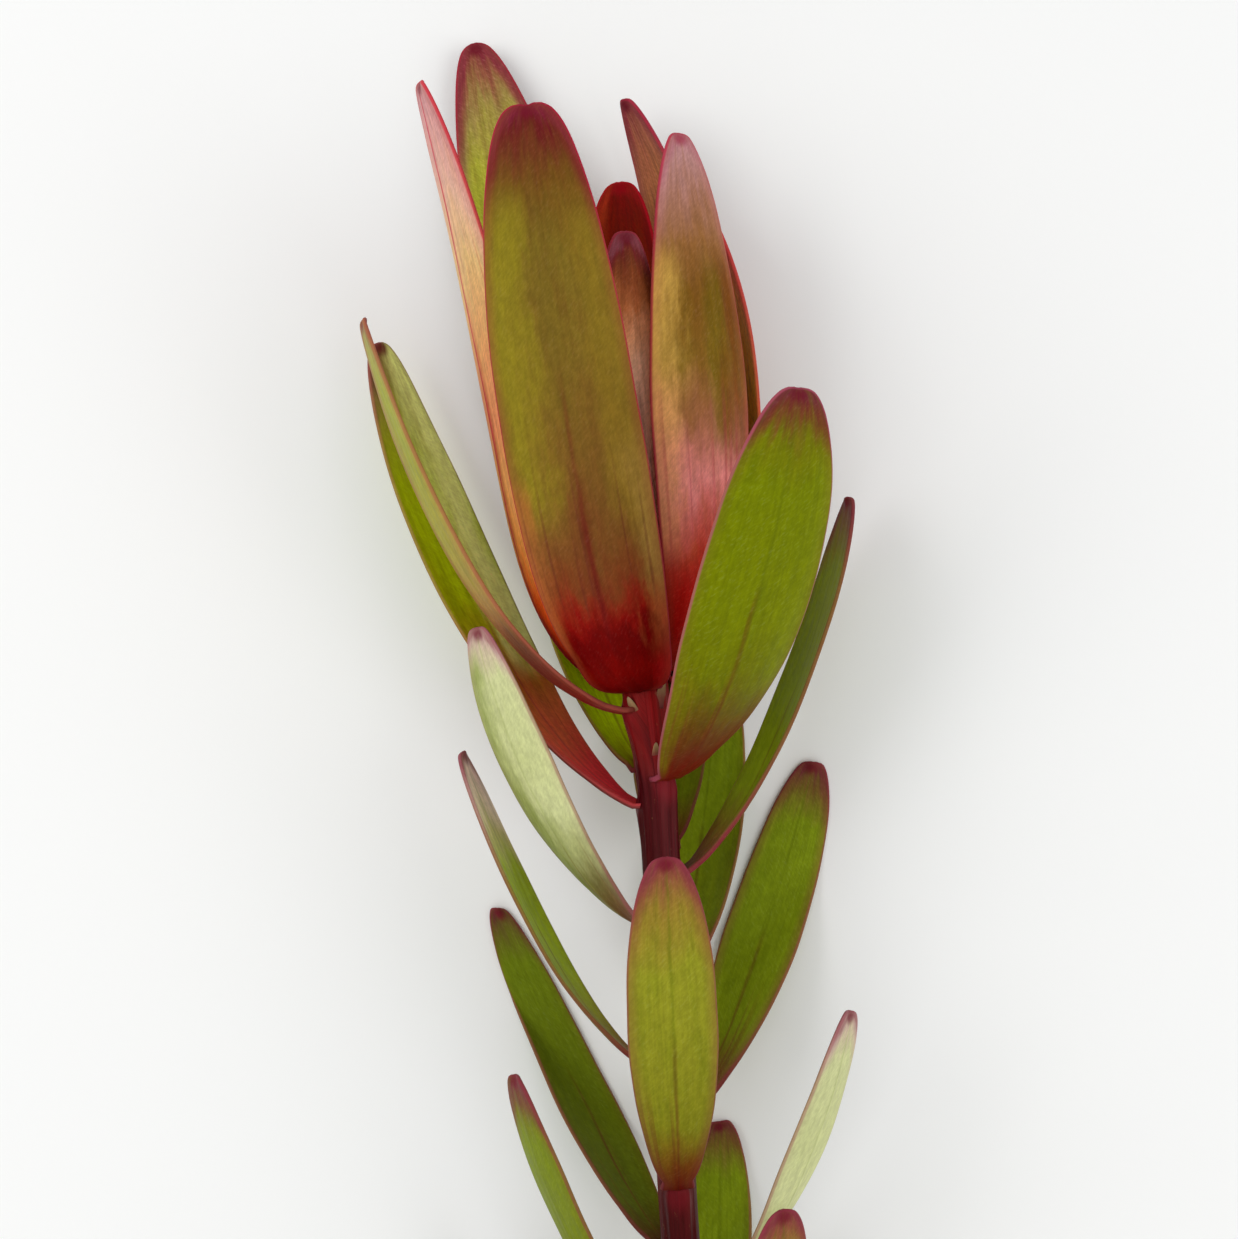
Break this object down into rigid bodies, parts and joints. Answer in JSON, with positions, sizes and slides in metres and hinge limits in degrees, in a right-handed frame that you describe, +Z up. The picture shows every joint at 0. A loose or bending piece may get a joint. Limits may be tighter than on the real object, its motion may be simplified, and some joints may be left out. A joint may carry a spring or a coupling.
{
  "type": "leucadendron stem",
  "caption": "Cut leucadendron stem lying down: woody leafy stem ending in a tall cup of red and olive bracts round a small cone.",
  "frame": {"origin": "on the surface under the middle of the whole", "axes": "+Y along the stem towards the head, +Z up from the surface, +X to the right seen from above with the head away"},
  "size_m": [0.074, 0.4949, 0.0574],
  "materials": {
    "stem_bark": "satin woody bark, crimson at the neck",
    "outer_bract": "satin leathery bract, olive with crimson base and margin",
    "inner_bract": "satin leathery bract, deep red",
    "leaf": "satin leathery leaf, green with red margin",
    "cone_scale": "matte downy scales"
  },
  "bodies": {
    "root": {"stem": "stem_bark", "cone": "cone_scale", "bract_front": "outer_bract", "bract_right_rear": "outer_bract", "bract_left": "outer_bract", "bract_right": "outer_bract", "bract_under": "outer_bract", "bract_back_left": "outer_bract", "bract_back_right": "outer_bract", "bract_inner_left": "inner_bract", "bract_inner_front": "inner_bract", "bract_inner_right": "inner_bract", "bract_small_left": "inner_bract", "bract_small_right": "inner_bract", "bract_inner_back": "inner_bract", "leaf_01": "leaf", "leaf_02": "leaf", "leaf_03": "leaf", "leaf_04": "leaf", "leaf_05": "leaf", "leaf_06": "leaf", "leaf_07": "leaf", "leaf_08": "leaf", "leaf_09": "leaf", "leaf_10": "leaf", "leaf_11": "leaf", "leaf_12": "leaf", "leaf_13": "leaf", "leaf_14": "leaf", "leaf_15": "leaf", "leaf_16": "leaf", "leaf_17": "leaf", "leaf_18": "leaf", "leaf_19": "leaf", "leaf_20": "leaf", "leaf_21": "leaf", "leaf_22": "leaf", "leaf_23": "leaf", "leaf_24": "leaf", "leaf_25": "leaf", "leaf_26": "leaf", "leaf_27": "leaf", "leaf_28": "leaf", "leaf_29": "leaf", "leaf_30": "leaf"}
  },
  "joints": []
}
